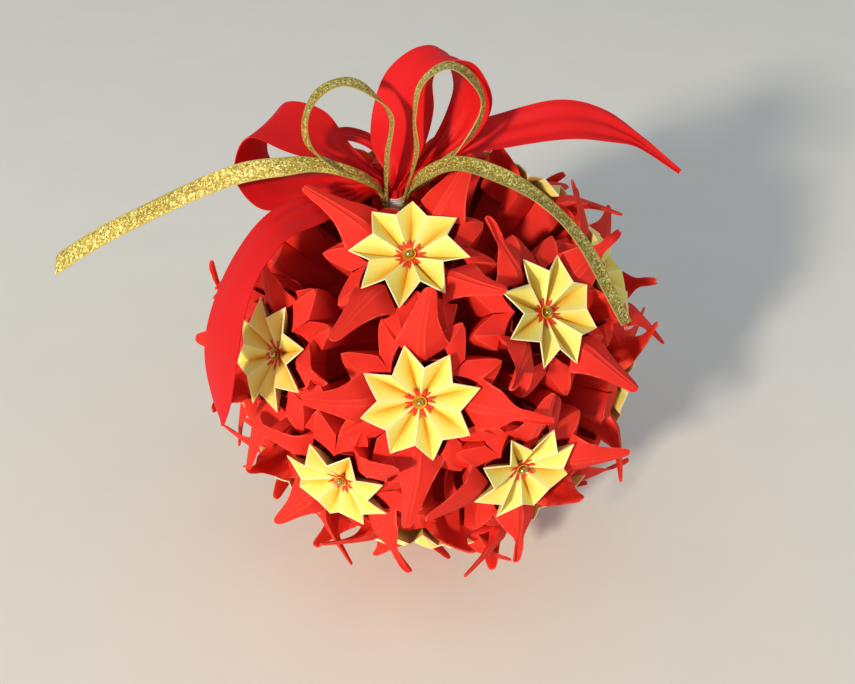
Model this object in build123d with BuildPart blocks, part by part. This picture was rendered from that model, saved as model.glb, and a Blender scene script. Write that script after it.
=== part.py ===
from build123d import *
import math
import os

# Kusudama paper ball: folded red lilies, sewn together at their points, each with a
# pleated yellow star in its mouth, and a bow of red and gold ribbon on top.
# Lengths are in mm and angles in degrees. Every piece is modelled about the ball's
# centre, and the last section sets the whole ball down on its lowest petals.

# Driving dimensions of one flower, measured along the flower's own axis
lily_point = 13.6          # ball centre to the lily's sewn point
star_seat = 73.5           # ball centre to the star's centre
star_radius = 21.0         # star centre to its points
star_rise = 4.8            # height of the points above the star's centre
notch_radius = 13.9        # star centre to its notches
notch_rise = 5.6           # height of the notches above the star's centre
petal_reach = 43.0         # axis to the tip of a petal
petal_rise = 11.0          # height of the petal's tip above the star's centre
petal_width = 16.8         # width of a petal where it leaves the star
lobe_reach = 26.5          # axis to the blunt end of a lobe between two petals
lobe_drop = 4.0            # how far that end hangs below the star's centre
lobe_spread = 0.8          # its direction, in pleats from the middle between the petals
cleft_depth = 2.0          # how far the cleft between twin lobes lies below their tops
body_radius = 13.0         # the lily's body at its fullest
body_height = 46.0         # ball centre to that level
lily_sheet = 0.4           # thickness of the folded red paper
star_sheet = 0.35          # thickness of the folded yellow paper
seat_gap = 0.25            # clearance between the star and the lily's mouth
seat_slant = 0.75          # what that clearance takes along the axis and across it
valley_share = 0.76        # where the mouth's valleys turn, as a share of the star's radius
valley_depth = 2.0         # how far they lie below the star there
shoulder_rise = 0.8        # height of a petal's root above those valleys

# Stations of a petal: shares of its length, heights, and half widths in pleats
back_share = 0.34
back_rise = 2.8
edge_share = 0.46
edge_rise = 0.2
edge_spread = 0.6
waist_share = 0.67
waist_drop = 0.9
slim_share = 0.7
slim_drop = 2.3
slim_spread = 0.24

# Driving dimensions of the trim
punch_radius = 5.2
punch_sides = 8
punch_sheet = 0.25
sequin_radius = 2.4
sequin_sides = 5
sequin_rise = 1.0          # enough to clear the slope of the punched flower
sequin_sheet = 0.2
bead_radius = 1.45
bead_sides = 5
bead_bands = 3
trim_gap = 0.15
knot_radius = 13.0         # stitching that draws the lilies' points together
knot_sides = 10
knot_bands = 6
knot_depth = 0.8           # how far its facet under the hanging thread lies within that radius
ribbon_thickness = 0.6
gold_thickness = 0.5
neck_radius = 3.0
neck_length = 14.0
neck_sides = 10
wrap_width = 5.0           # white thread wound round the neck, above the gold band
thread_width = 1.2
thread_sides = 6
band_foot = 2.0            # foot of the neck to the gold band
band_radius = 4.6          # outside of that band
band_width = 3.6

# Counts of the folds
petals = 4
quarter = 360 / petals
quarter_pleats = 4
pleat = quarter / quarter_pleats
folds = quarter_pleats * petals
steepest = 0.4             # keeps a corner of a sharp fold from running out too far

# Each flower's azimuth from the front, elevation above the equator, and its turn
# about its own axis. The three low ones at one elevation are the feet.
foot_elevation = -68
foot_turn = 61
flowers = (
    (-12, 62, 66),
    (-3, 23, 89),
    (44, 39, 20),
    (-53.5, 22, 19),
    (-26, -7.8, 47),
    (26, -3, 87),
    (-104, 32, 0),
    (129, 51, 14),
    (79, -7, 15),
    (-60, foot_elevation, foot_turn),
    (60, foot_elevation, foot_turn),
    (180, foot_elevation, foot_turn),
    (158, 12, 45),
    (-140, -19, 0),
    (180, -21, 60),
    (87, 30, 0),
    (-103, -40, 75),
    (123, -38, 0),
    (-88, -3, 10),
    (-166, 52, 30),
    (-54, -30, 76),
    (-147, 17, 75),
    (43, -34, 15),
    (119, 3, 60),
    (-4, -39, 59),
)

# The bow's routes, from the knot outwards: each station is one point on either edge
bow_place = Vector(-13, 0, 0)
neck_foot = 60.0
red_routes = {
    "left loop": (
        ((-14.5, -1, 72.5), (-14.5, 1, 72.5)),
        ((-35, -5, 85), (-29, 8, 86)),
        ((-51, -7, 92), (-38, 12, 98)),
        ((-63, -8, 98), (-51, 12, 102)),
        ((-69, -8, 90), (-58, 14, 93)),
        ((-69, -9, 79), (-60, 10, 82)),
        ((-59, -15, 73), (-52, 5, 77)),
        ((-42, -9, 73), (-37, 6, 77)),
        ((-26, -3, 72.5), (-24, 5, 75)),
        ((-14, -1, 71.6), (-14, 1, 71.6)),
    ),
    "back loop": (
        ((-14, 0, 72.3), (-13, 1.5, 72.3)),
        ((-19, 8, 77), (-18, 18, 80.5)),
        ((-36, 13, 81.5), (-36, 25, 85.5)),
        ((-38, 12, 79), (-38.5, 22, 82)),
        ((-33, 10, 76.5), (-33, 19, 78.5)),
        ((-22, 6, 74.5), (-21, 13, 76)),
        ((-13, 0.5, 73), (-12, 1.5, 73)),
    ),
    "top loop": (
        ((-14, 1, 73), (-12, -1, 73)),
        ((-21, 8, 85), (-3, -4, 91)),
        ((-21, 9, 99), (1, -4, 106)),
        ((-16, 12, 113), (1, -4, 118)),
        ((-6, 12, 122), (6, -4, 124)),
        ((3, 12, 122), (15, -4, 123)),
        ((8, 12, 111), (21, -4, 112)),
        ((7, 10, 102), (19, -3, 101)),
        ((1, 7, 89), (10, -1, 89)),
        ((-12, 1, 72.6), (-11.5, -1, 72.6)),
    ),
    "right tail": (
        ((-12, 1, 72), (-12, -1, 72)),
        ((5, 8, 91), (8, -2, 86)),
        ((27, 12, 98), (28, 0, 90)),
        ((47, 14, 102), (49, 4, 91)),
        ((64, 16, 97), (64, 8, 88)),
        ((80, 16, 85), (78, 12, 83)),
        ((95, 14, 73), (94, 13, 72)),
    ),
    "left tail": (
        ((-14, 0.5, 72), (-14, -1, 72)),
        ((-19, 3, 72.5), (-19, -0.4, 72)),
        ((-32, -5.5, 73.5), (-29, -13, 72)),
        ((-47, -15, 78), (-39, -26, 74)),
        ((-60, -25, 74), (-49, -38, 75)),
        ((-71, -34, 61), (-58, -49, 67)),
        ((-78, -44, 45), (-63, -57, 56)),
        ((-80, -50, 32), (-65, -66, 45)),
        ((-77, -60, 22), (-68, -70, 30)),
        ((-73, -67, 17), (-72, -69, 18)),
    ),
}
gold_routes = {
    "left tail": (
        ((-16.7, -2.2, 64.5), (-16.1, -2.9, 64)),
        ((-17.5, -2.7, 71.3), (-16.8, -3.6, 71.3)),
        ((-20, -5, 79), (-19.5, -9, 78)),
        ((-28, -9, 87), (-28, -13, 84.5)),
        ((-39, -10, 91), (-39, -13, 87)),
        ((-51, -11, 92), (-49, -15, 87)),
        ((-73, -12, 88), (-73, -16, 82)),
        ((-115, -14, 68), (-115, -18, 62)),
        ((-137, -16, 55), (-138, -20, 48)),
    ),
    "left loop": (
        ((-16, -3.1, 64.5), (-15.3, -3.7, 64)),
        ((-16.6, -3.7, 71.3), (-15.8, -4.4, 71.3)),
        ((-16, -8, 91), (-14.5, -13.5, 93)),
        ((-14.5, -7, 105), (-12.5, -12, 108)),
        ((-21.5, -5, 114), (-20.5, -11, 116)),
        ((-29.5, -2.5, 116), (-29.5, -8, 118)),
        ((-39.5, -2.5, 112.5), (-37.5, -8.5, 114)),
        ((-44.5, -5, 104), (-42, -10, 105.5)),
        ((-43.5, -7, 94.5), (-41, -12, 96)),
        ((-35, -9, 90), (-33, -15, 89)),
        ((-23, -5, 82), (-22, -9, 81.5)),
        ((-18, -1.8, 71.3), (-17.6, -2.7, 71.3)),
        ((-17.1, -1.2, 64.5), (-16.8, -2, 64)),
    ),
    "right loop": (
        ((-10, -3.1, 64.5), (-10.7, -3.7, 64)),
        ((-9.4, -3.7, 71.3), (-10.2, -4.4, 71.3)),
        ((-6, -9, 92), (-4, -15, 95)),
        ((-6, -8, 105), (-5, -14, 108)),
        ((-4, -7, 117.5), (-2.5, -12.5, 120)),
        ((5, -5, 124.5), (6, -11.5, 125)),
        ((14.5, -5, 120.5), (13, -12, 120.5)),
        ((19, -6, 110), (17, -11, 111.5)),
        ((15, -8, 99), (12, -15, 101)),
        ((3, -10, 90), (3, -16, 88)),
        ((-8, -1.5, 71.3), (-8.4, -2.4, 71.3)),
        ((-8.9, -1.2, 64.5), (-9.2, -2, 64)),
    ),
    "right tail": (
        ((-9.3, -2.2, 64.5), (-9.9, -2.9, 64)),
        ((-8.5, -2.7, 71.3), (-9.2, -3.6, 71.3)),
        ((-4, -12, 87), (-2, -18, 86)),
        ((9, -18, 96), (9, -24, 94)),
        ((26, -22, 93), (24, -28, 91)),
        ((40, -28, 86), (37, -34, 86)),
        ((54, -37, 74), (50, -42, 75)),
        ((69, -52, 51), (65, -56, 52)),
    ),
}


def polar(radius, angle, height):
    """A point given by its distance from the flower's axis, direction and height."""
    turn = math.radians(angle)
    return Vector(radius * math.cos(turn), radius * math.sin(turn), height)


def flower_plane(azimuth, elevation, turn):
    """The flower's own plane: its axis leaves the ball's centre."""
    across, up, roll = (math.radians(angle) for angle in (azimuth, elevation, turn))
    axis = Vector(
        math.sin(across) * math.cos(up), -math.cos(across) * math.cos(up), math.sin(up)
    )
    east = Vector(math.cos(across), math.sin(across), 0)
    north = axis.cross(east)
    return Plane(
        origin=(0, 0, 0), x_dir=east * math.cos(roll) + north * math.sin(roll), z_dir=axis
    )


def closed_by(outline):
    """The solid inside a closed outline of flat triangles."""
    walls = [Face(Wire.make_polygon(triangle, close=True)) for triangle in outline]
    return Solid(Shell(walls))


def folded_sheet(corners, facets, thickness):
    """A closed solid of flat facets: an open folded sheet, thickened to both sides."""
    normals = [
        (corners[b] - corners[a]).cross(corners[c] - corners[a]).normalized()
        for a, b, c in facets
    ]
    front, back = [], []
    for index, corner in enumerate(corners):
        around = [n for n, facet in zip(normals, facets) if index in facet]
        mean = sum(around, Vector(0, 0, 0)).normalized()
        lean = max(min(mean.dot(n) for n in around), steepest)
        front.append(corner + mean * (thickness / 2 / lean))
        back.append(corner - mean * (thickness / 2 / lean))

    sides = [pair for a, b, c in facets for pair in ((a, b), (b, c), (c, a))]
    rim = [(a, b) for a, b in sides if (b, a) not in sides]
    outline = [(front[a], front[b], front[c]) for a, b, c in facets]
    outline += [(back[c], back[b], back[a]) for a, b, c in facets]
    outline += [(front[b], front[a], back[a]) for a, b in rim]
    outline += [(front[b], back[a], back[b]) for a, b in rim]
    return closed_by(outline)


def faceted_ball(radius, sides, bands, middle):
    """A ball of flat facets, its middle at a given height on the flower's axis."""
    rings = []
    for level in range(bands + 1):
        fall = math.radians(180 * level / bands)
        across, height = radius * math.sin(fall), middle - radius * math.cos(fall)
        rings.append([polar(across, (k + level / 2) * 360 / sides, height) for k in range(sides)])
    outline = []
    for lower, upper in zip(rings, rings[1:]):
        for k in range(sides):
            after = (k + 1) % sides
            if lower is not rings[0]:
                outline.append((lower[k], lower[after], upper[k]))
            if upper is not rings[-1]:
                outline.append((lower[after], upper[after], upper[k]))
    return closed_by(outline)


# Heights and distances in the lily's mouth, all taken from the star that sits in it
mouth_step = (seat_gap + (lily_sheet + star_sheet) / 2) * seat_slant
ridge_radius = notch_radius + mouth_step
ridge_height = star_seat + notch_rise - mouth_step
valley_radius = star_radius * valley_share
valley_height = star_seat + star_rise * valley_share - valley_depth
shoulder_radius = petal_width / 2 / math.sin(math.radians(pleat))
shoulder_height = valley_height + shoulder_rise
lobe_height = star_seat - lobe_drop
cleft_radius = (ridge_radius + lobe_reach) / 2
cleft_height = (ridge_height + lobe_height) / 2 - cleft_depth


def lily_corners_and_facets():
    """One lily, folded from a square: four petals, and a twin lobe between each two."""
    corners = [Vector(0, 0, lily_point)]
    names = {}

    def corner(name, radius, angle, height):
        names[name] = len(corners)
        corners.append(polar(radius, angle, height))

    grow = petal_reach - ridge_radius
    tip_height = star_seat + petal_rise
    for q in range(petals):
        a = q * quarter
        corner(("body", 2 * q), body_radius, a, body_height)
        corner(("body", 2 * q + 1), body_radius, a + 2 * pleat, body_height)
        corner(("ridge", q), ridge_radius, a, ridge_height)
        corner(("valley", q, 1), valley_radius, a + pleat, valley_height)
        corner(("fold", q), ridge_radius, a + 2 * pleat, ridge_height)
        corner(("valley", q, 2), valley_radius, a + 3 * pleat, valley_height)
        corner(("back", q), ridge_radius + back_share * grow, a, ridge_height + back_rise)
        corner(("waist", q), ridge_radius + waist_share * grow, a, tip_height - waist_drop)
        corner(("tip", q), petal_reach, a, tip_height)
        for s in (-1, 1):
            corner(("shoulder", q, s), shoulder_radius, a + s * pleat, shoulder_height)
            edge_angle = a + s * edge_spread * pleat
            corner(("edge", q, s), ridge_radius + edge_share * grow, edge_angle, ridge_height + edge_rise)
            slim_angle = a + s * slim_spread * pleat
            corner(("slim", q, s), ridge_radius + slim_share * grow, slim_angle, tip_height - slim_drop)
            corner(("lobe", q, s), lobe_reach, a + (2 + lobe_spread * s) * pleat, lobe_height)
        corner(("cleft", q), cleft_radius, a + 2 * pleat, cleft_height)

    facets = []
    for q in range(petals):
        after = (q + 1) % petals
        before = (q - 1) % petals
        ridge, fold, after_ridge = names["ridge", q], names["fold", q], names["ridge", after]
        rise, fall = names["valley", q, 1], names["valley", q, 2]
        # The body, from the sewn point to the mouth that holds the star
        first, middle, last = (names["body", (2 * q + k) % (2 * petals)] for k in range(3))
        facets += [(0, first, middle), (0, middle, last)]
        facets += [(first, ridge, rise), (first, rise, middle), (middle, rise, fold)]
        facets += [(middle, fold, fall), (middle, fall, last), (last, fall, after_ridge)]
        # The petal's two halves, folded along its middle
        back, waist, tip = names["back", q], names["waist", q], names["tip", q]
        for s, valley in ((1, rise), (-1, names["valley", before, 2])):
            shoulder, edge, slim = (names[kind, q, s] for kind in ("shoulder", "edge", "slim"))
            half = [
                (ridge, back, shoulder),
                (ridge, shoulder, valley),
                (back, edge, shoulder),
                (back, waist, edge),
                (waist, slim, edge),
                (waist, tip, slim),
            ]
            facets += half if s == 1 else [facet[::-1] for facet in half]
        # The twin lobe, folded along the line between two petals
        cleft = names["cleft", q]
        twins = ((-1, rise, names["shoulder", q, 1]), (1, fall, names["shoulder", after, -1]))
        for s, valley, shoulder in twins:
            lobe = names["lobe", q, s]
            half = [(valley, shoulder, lobe), (valley, lobe, fold), (fold, lobe, cleft)]
            facets += half if s == -1 else [facet[::-1] for facet in half]
    return corners, facets


def star_corners_and_facets():
    """The star: valleys run to its eight points and ridges to its eight notches."""
    corners = [Vector(0, 0, star_seat)]
    for k in range(folds):
        if k % 2:
            corners.append(polar(star_radius, k * pleat, star_seat + star_rise))
        else:
            corners.append(polar(notch_radius, k * pleat, star_seat + notch_rise))
    facets = [(0, 1 + k, 1 + (k + 1) % folds) for k in range(folds)]
    return corners, facets


def dish(sides, radius, foot, rise, thickness):
    """A shallow pressed cup with its lowest point on the flower's axis."""
    corners = [Vector(0, 0, foot)]
    corners += [polar(radius, k * 360 / sides, foot + rise) for k in range(sides)]
    facets = [(0, 1 + k, 1 + (k + 1) % sides) for k in range(sides)]
    return folded_sheet(corners, facets, thickness)


def ribbon(route, thickness):
    """A strip of ribbon whose two edges follow the stations of a route."""
    corners = [Vector(*point) for station in route for point in station]
    facets = []
    for k in range(0, len(corners) - 2, 2):
        facets += [(k, k + 2, k + 1), (k + 1, k + 2, k + 3)]
    return folded_sheet(corners, facets, thickness)


pieces = {}

# Red lilies and their yellow stars
lily_solid = folded_sheet(*lily_corners_and_facets(), lily_sheet)
star_solid = folded_sheet(*star_corners_and_facets(), star_sheet)
places = [flower_plane(*flower).location for flower in flowers]
for number, place in enumerate(places, start=1):
    with BuildPart() as lily:
        with Locations(place):
            add(lily_solid)
    pieces[f"red_lily_{number:02d}"] = lily
    with BuildPart() as star:
        with Locations(place):
            add(star_solid)
    pieces[f"yellow_star_{number:02d}"] = star

# Small punched flowers, pressed into the stars' centres
ridge_slope = notch_rise / notch_radius
punch_foot = star_seat + star_sheet + trim_gap
punch_rise = punch_radius * ridge_slope
punch_solid = dish(punch_sides, punch_radius, punch_foot, punch_rise, punch_sheet)
with BuildPart() as punched_flowers:
    with Locations(*places):
        add(punch_solid)
pieces["punched_flowers"] = punched_flowers

# Cup sequins on the punched flowers
sequin_foot = punch_foot + (punch_sheet + sequin_sheet) / 2 + trim_gap
sequin_solid = dish(sequin_sides, sequin_radius, sequin_foot, sequin_rise, sequin_sheet)
with BuildPart() as cup_sequins:
    with Locations(*places):
        add(sequin_solid)
pieces["cup_sequins"] = cup_sequins

# Gold beads in the sequins
bead_middle = sequin_foot + sequin_sheet + trim_gap + bead_radius
with BuildPart() as gold_beads:
    with Locations(*places):
        add(faceted_ball(bead_radius, bead_sides, bead_bands, bead_middle))
pieces["gold_beads"] = gold_beads

# Stitching that draws the lilies' points together at the ball's centre
with BuildPart() as centre_stitching:
    add(faceted_ball(knot_radius, knot_sides, knot_bands, 0))
pieces["centre_stitching"] = centre_stitching

# Bow of one red ribbon: two tails and three loops, gathered at the neck
with BuildPart() as red_ribbon:
    for route in red_routes.values():
        add(ribbon(route, ribbon_thickness))
    with BuildSketch(Plane(bow_place + Vector(0, 0, neck_foot))):
        RegularPolygon(neck_radius, neck_sides)
    extrude(amount=neck_length)
pieces["red_ribbon"] = red_ribbon

# White thread wound round the neck, above the gold band
band_height = neck_foot + band_foot
wrap_height = band_height + band_width + trim_gap
with BuildPart() as binding_thread:
    with BuildSketch(Plane(bow_place + Vector(0, 0, wrap_height))):
        RegularPolygon(neck_radius + trim_gap + thread_width / 2, neck_sides)
        RegularPolygon(neck_radius + trim_gap, neck_sides, mode=Mode.SUBTRACT)
    extrude(amount=wrap_width)
pieces["binding_thread"] = binding_thread

# Gold ribbon: a band round the neck, two loops and two tails
with BuildPart() as gold_ribbon:
    for route in gold_routes.values():
        add(ribbon(route, gold_thickness))
    with BuildSketch(Plane(bow_place + Vector(0, 0, band_height))):
        RegularPolygon(band_radius, neck_sides)
        RegularPolygon(neck_radius + trim_gap, neck_sides, mode=Mode.SUBTRACT)
    extrude(amount=band_width)
pieces["gold_ribbon"] = gold_ribbon

# Hanging thread from the stitching up to the neck of the bow
thread_top = bow_place + Vector(0, 0, neck_foot - trim_gap)
thread_foot = thread_top * ((knot_radius - knot_depth + 2 * trim_gap) / thread_top.Z)
with BuildPart() as hanging_thread:
    with BuildSketch(Plane(origin=thread_foot, z_dir=thread_top - thread_foot)):
        RegularPolygon(thread_width / 2, thread_sides)
    extrude(amount=(thread_top - thread_foot).length)
pieces["hanging_thread"] = hanging_thread

# The frame's origin is under the middle of the whole, on the surface it stands on
boxes = [piece.part.bounding_box() for piece in pieces.values()]
middle_x = (min(box.min.X for box in boxes) + max(box.max.X for box in boxes)) / 2
middle_y = (min(box.min.Y for box in boxes) + max(box.max.Y for box in boxes)) / 2
lowest = min(box.min.Z for box in boxes)
settle = Location((-middle_x, -middle_y, -lowest))

os.makedirs("parts", exist_ok=True)
for name, piece in pieces.items():
    piece.part.move(settle)
    piece.part.label = name
    export_step(piece.part, f"parts/{name}.step")
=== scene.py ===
import bpy
import bmesh
import math
import numpy as np
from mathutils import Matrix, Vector


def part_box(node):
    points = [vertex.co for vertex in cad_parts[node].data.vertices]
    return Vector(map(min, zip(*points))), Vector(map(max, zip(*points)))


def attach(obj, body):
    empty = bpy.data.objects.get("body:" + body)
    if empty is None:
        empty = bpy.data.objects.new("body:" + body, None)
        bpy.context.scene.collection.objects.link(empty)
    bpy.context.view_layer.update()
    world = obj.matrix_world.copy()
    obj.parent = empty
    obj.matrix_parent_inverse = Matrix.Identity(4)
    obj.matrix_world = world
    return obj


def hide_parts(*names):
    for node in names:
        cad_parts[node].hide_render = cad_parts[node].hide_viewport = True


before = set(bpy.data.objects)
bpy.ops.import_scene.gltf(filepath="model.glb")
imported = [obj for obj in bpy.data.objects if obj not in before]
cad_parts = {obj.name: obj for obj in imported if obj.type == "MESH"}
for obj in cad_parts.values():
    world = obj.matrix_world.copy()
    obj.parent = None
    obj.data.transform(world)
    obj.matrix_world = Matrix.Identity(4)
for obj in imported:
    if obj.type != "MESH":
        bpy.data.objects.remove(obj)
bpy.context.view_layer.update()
MM = 0.001

# The ball's middle in the frame
low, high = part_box("centre_stitching")
MIDDLE = (np.array(low) + np.array(high)) / 2

# Camera at the photograph's angle, from the ball's middle
ELEVATION = math.radians(38.0)
DISTANCE = 450.0 * MM
FOCAL_PX = 1100.0
PHOTO_WIDTH = 855
MIDDLE_PX = (430.5, 345.0)
PHOTO_MIDDLE_PX = (427.5, 342.0)
SENSOR_WIDTH = 36.0
NEAREST_SEEN = 0.01

scene = bpy.context.scene
scene.view_settings.view_transform = "Standard"
camera = bpy.data.objects.new("camera", bpy.data.cameras.new("camera"))
scene.collection.objects.link(camera)
scene.camera = camera
back = Vector((0, -math.cos(ELEVATION), math.sin(ELEVATION)))
camera.location = Vector(MIDDLE) + back * DISTANCE
camera.rotation_euler = back.to_track_quat("Z", "Y").to_euler()
camera.data.sensor_width = SENSOR_WIDTH
camera.data.lens = SENSOR_WIDTH * FOCAL_PX / PHOTO_WIDTH
camera.data.shift_x = (PHOTO_MIDDLE_PX[0] - MIDDLE_PX[0]) / PHOTO_WIDTH
camera.data.shift_y = (MIDDLE_PX[1] - PHOTO_MIDDLE_PX[1]) / PHOTO_WIDTH
camera.data.clip_start = NEAREST_SEEN

# One flower, in mm, with heights from the ball's middle or, where they rise or drop, from the
# star's seat: the solids' values
STAR_SEAT = 73.5
STAR_RADIUS = 21.0
STAR_RISE = 4.8
NOTCH_RADIUS = 13.9
NOTCH_RISE = 5.6
PETAL_REACH = 43.0
PETAL_RISE = 11.0
BODY_RADIUS = 13.0
BODY_HEIGHT = 46.0
BEAD_RADIUS = 1.45

# This script's own values: a petal's root, the lily's sewn point and mouth, and the papers
RIDGE_RADIUS = 14.4
RIDGE_RISE = 5.0
LILY_POINT = 2.6
MOUTH_RISE = 0.8
MOUTH_RADIUS = 15.2
MOUTH_WAVE = 0.8
PAPER = 0.36
STAR_PAPER = 0.42
PUNCHED_PAPER = 0.22

# Folds of a flower: a pleat is the angle from a point of the star to the next notch
FOLDS = 16
PLEAT = 360 / FOLDS
QUARTERS = 4
QUARTER = 360 / QUARTERS

# Each flower's azimuth, elevation and roll in degrees, the same as the solids'. Scratch scripts
# fitted the six that are seen whole to the photograph, spread the hidden ones evenly and turned
# most of them to overlap least. The three feet and the ones seen in part were placed one by one
FLOWERS = (
    (-12, 62, 66), (-3, 23, 89), (44, 39, 20), (-53.5, 22, 19), (-26, -7.8, 47),
    (26, -3, 87), (-104, 32, 0), (129, 51, 14), (79, -7, 15), (-60, -68, 61),
    (60, -68, 61), (180, -68, 61), (158, 12, 45), (-140, -19, 0), (180, -21, 60),
    (87, 30, 0), (-103, -40, 75), (123, -38, 0), (-88, -3, 10), (-166, 52, 30),
    (-54, -30, 76), (-147, 17, 75), (43, -34, 15), (119, 3, 60), (-4, -39, 59),
)
FEET = (10, 11, 12)


def flower_axes(azimuth, elevation, turn):
    """A flower's own x and y and its outward axis, as the rows of a matrix."""
    across, up, roll = (math.radians(angle) for angle in (azimuth, elevation, turn))
    axis = np.array((
        math.sin(across) * math.cos(up),
        -math.cos(across) * math.cos(up),
        math.sin(up),
    ))
    east = np.array((math.cos(across), math.sin(across), 0))
    north = np.cross(axis, east)
    x = east * math.cos(roll) + north * math.sin(roll)
    return np.array((x, np.cross(axis, x), axis))


def to_frame(points, axes):
    """Points in mm in a flower's own frame, heights from the ball's middle, to metres."""
    return np.asarray(points) @ axes * MM + MIDDLE


def smooth(low_end, high_end, x):
    t = np.clip((x - low_end) / (high_end - low_end), 0, 1)
    return t * t * (3 - 2 * t)


# Points closer than this in mm become one, and edges shorter than this in metres go
MERGED_WITHIN = 0.02
SHORTEST_EDGE = 1e-7


class Sheet:
    """Collects grids of points into one mesh, with the shares of pale edge, partly painted
    highlight, and of painted shade in deep folds.
    """

    def __init__(self):
        self.points, self.faces, self.uvs, self.count = [], [], [], 0
        self.edges, self.painted_shades = [], []

    def grid(self, points, edge=0, uv=None, wrap=False, flip=False, deep=0):
        rows, columns = points.shape[:2]
        self.points.append(points.reshape(-1, 3))
        self.edges.append(np.broadcast_to(edge, (rows, columns)).ravel())
        self.painted_shades.append(np.broadcast_to(deep, (rows, columns)).ravel())
        if uv is None:
            uv = points[..., :2]
        self.uvs.append(uv.reshape(-1, 2))
        for i in range(rows - 1):
            for j in range(columns if wrap else columns - 1):
                k = (j + 1) % columns
                a, b = self.count + i * columns + j, self.count + i * columns + k
                face = (a, b, b + columns, a + columns)
                self.faces.append(face[::-1] if flip else face)
        self.count += rows * columns

    def build(self, name, axes=None):
        points = np.concatenate(self.points)
        placed = to_frame(points, axes) if axes is not None else points * MM + MIDDLE
        mesh = bpy.data.meshes.new(name)
        mesh.from_pydata(placed.tolist(), [], self.faces)
        for kind, values in (("edge", self.edges), ("deep", self.painted_shades)):
            layer = mesh.attributes.new(kind, "FLOAT", "POINT")
            layer.data.foreach_set("value", np.concatenate(values).astype(np.float32))
        uv_layer = mesh.uv_layers.new(name="UVMap")
        loops = np.zeros(len(mesh.loops), dtype=np.int32)
        mesh.loops.foreach_get("vertex_index", loops)
        uv_layer.data.foreach_set("uv", np.concatenate(self.uvs)[loops].astype(np.float32).ravel())
        piece = bpy.data.objects.new(name, mesh)
        scene.collection.objects.link(piece)
        work = bmesh.new()
        work.from_mesh(mesh)
        bmesh.ops.remove_doubles(work, verts=work.verts, dist=MERGED_WITHIN * MM)
        bmesh.ops.dissolve_degenerate(work, edges=work.edges, dist=SHORTEST_EDGE)
        work.to_mesh(mesh)
        work.free()
        return piece


def finish_sheet(piece, thickness, materials, sharp, rim=0):
    """Gives a piece its materials, its thickness in mm and its sharp folds."""
    for material in materials:
        piece.data.materials.append(material)
    if thickness:
        solid = piece.modifiers.new("thickness", "SOLIDIFY")
        solid.thickness = thickness * MM
        solid.offset = 0
        solid.material_offset_rim = rim
        solid.use_even_offset = False
        bpy.context.view_layer.objects.active = piece
        with bpy.context.temp_override(object=piece):
            bpy.ops.object.modifier_apply(modifier=solid.name)
    piece.data.shade_smooth()
    piece.data.set_sharp_from_angle(angle=math.radians(sharp))


# Materials
def material(name, colour, roughness):
    made = bpy.data.materials.new(name)
    made.use_nodes = True
    shader = made.node_tree.nodes["Principled BSDF"]
    shader.inputs["Base Color"].default_value = (*colour, 1)
    shader.inputs["Roughness"].default_value = roughness
    return made, made.node_tree, shader


def node(tree, kind, **values):
    made = tree.nodes.new(kind)
    for key, value in values.items():
        if hasattr(made, key):
            setattr(made, key, value)
        else:
            made.inputs[key].default_value = value
    return made


def ramp(tree, source, stops):
    made = tree.nodes.new("ShaderNodeValToRGB")
    elements = made.color_ramp.elements
    while len(elements) < len(stops):
        elements.new(0.5)
    for element, (place, colour) in zip(elements, stops):
        element.position = place
        element.color = (*colour, 1)
    tree.links.new(source, made.inputs["Fac"])
    return made.outputs["Color"]


def noise(tree, vector, scale, detail):
    made = node(tree, "ShaderNodeTexNoise", Scale=scale, Detail=detail)
    tree.links.new(vector, made.inputs["Vector"])
    return made.outputs["Fac"]


def laid_over(tree, share, under, over):
    """A plain colour over another one, by a share that the mesh holds for each point."""
    value = node(tree, "ShaderNodeAttribute", attribute_name=share)
    mix = node(tree, "ShaderNodeMix", data_type="RGBA")
    tree.links.new(value.outputs["Fac"], mix.inputs["Factor"])
    tree.links.new(under, mix.inputs["A"])
    mix.inputs["B"].default_value = (*over, 1)
    return mix.outputs["Result"]


def bumped(tree, shader, height, strength, distance):
    made = node(tree, "ShaderNodeBump", Strength=strength, Distance=distance)
    tree.links.new(height, made.inputs["Height"])
    tree.links.new(made.outputs["Normal"], shader.inputs["Normal"])


def paper(name, colour, deep, pale, inner):
    """Coloured craft paper: faint cloudy colour, fibres in the bump, pale folds and edges that are
    partly whitened paper and partly painted highlight, and painted shade in the inner colour by
    each point's deep share.
    """
    made, tree, shader = material(name, colour, roughness=0.72)
    place = node(tree, "ShaderNodeTexCoord").outputs["Object"]
    cloud = noise(tree, place, scale=70.0, detail=3.0)
    tint = ramp(tree, cloud, ((0.3, deep), (0.7, colour)))
    # Pale folds and edges: partly whitened paper, partly painted highlight
    pale_folds = laid_over(tree, "edge", tint, pale)
    # Painted shade: the inner colour laid over the paper by each point's deep share
    shaded = laid_over(tree, "deep", pale_folds, inner)
    tree.links.new(shaded, shader.inputs["Base Color"])
    fibre = noise(tree, place, scale=900.0, detail=4.0)
    bumped(tree, shader, fibre, strength=0.12, distance=0.0003)
    shader.inputs["Specular IOR Level"].default_value = 0.25
    return made


# Paper colours: a darker cloudy tone for each, a pale colour for folds, edges and rims that is
# partly painted highlight, and the inner colours, which are painted shade
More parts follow.
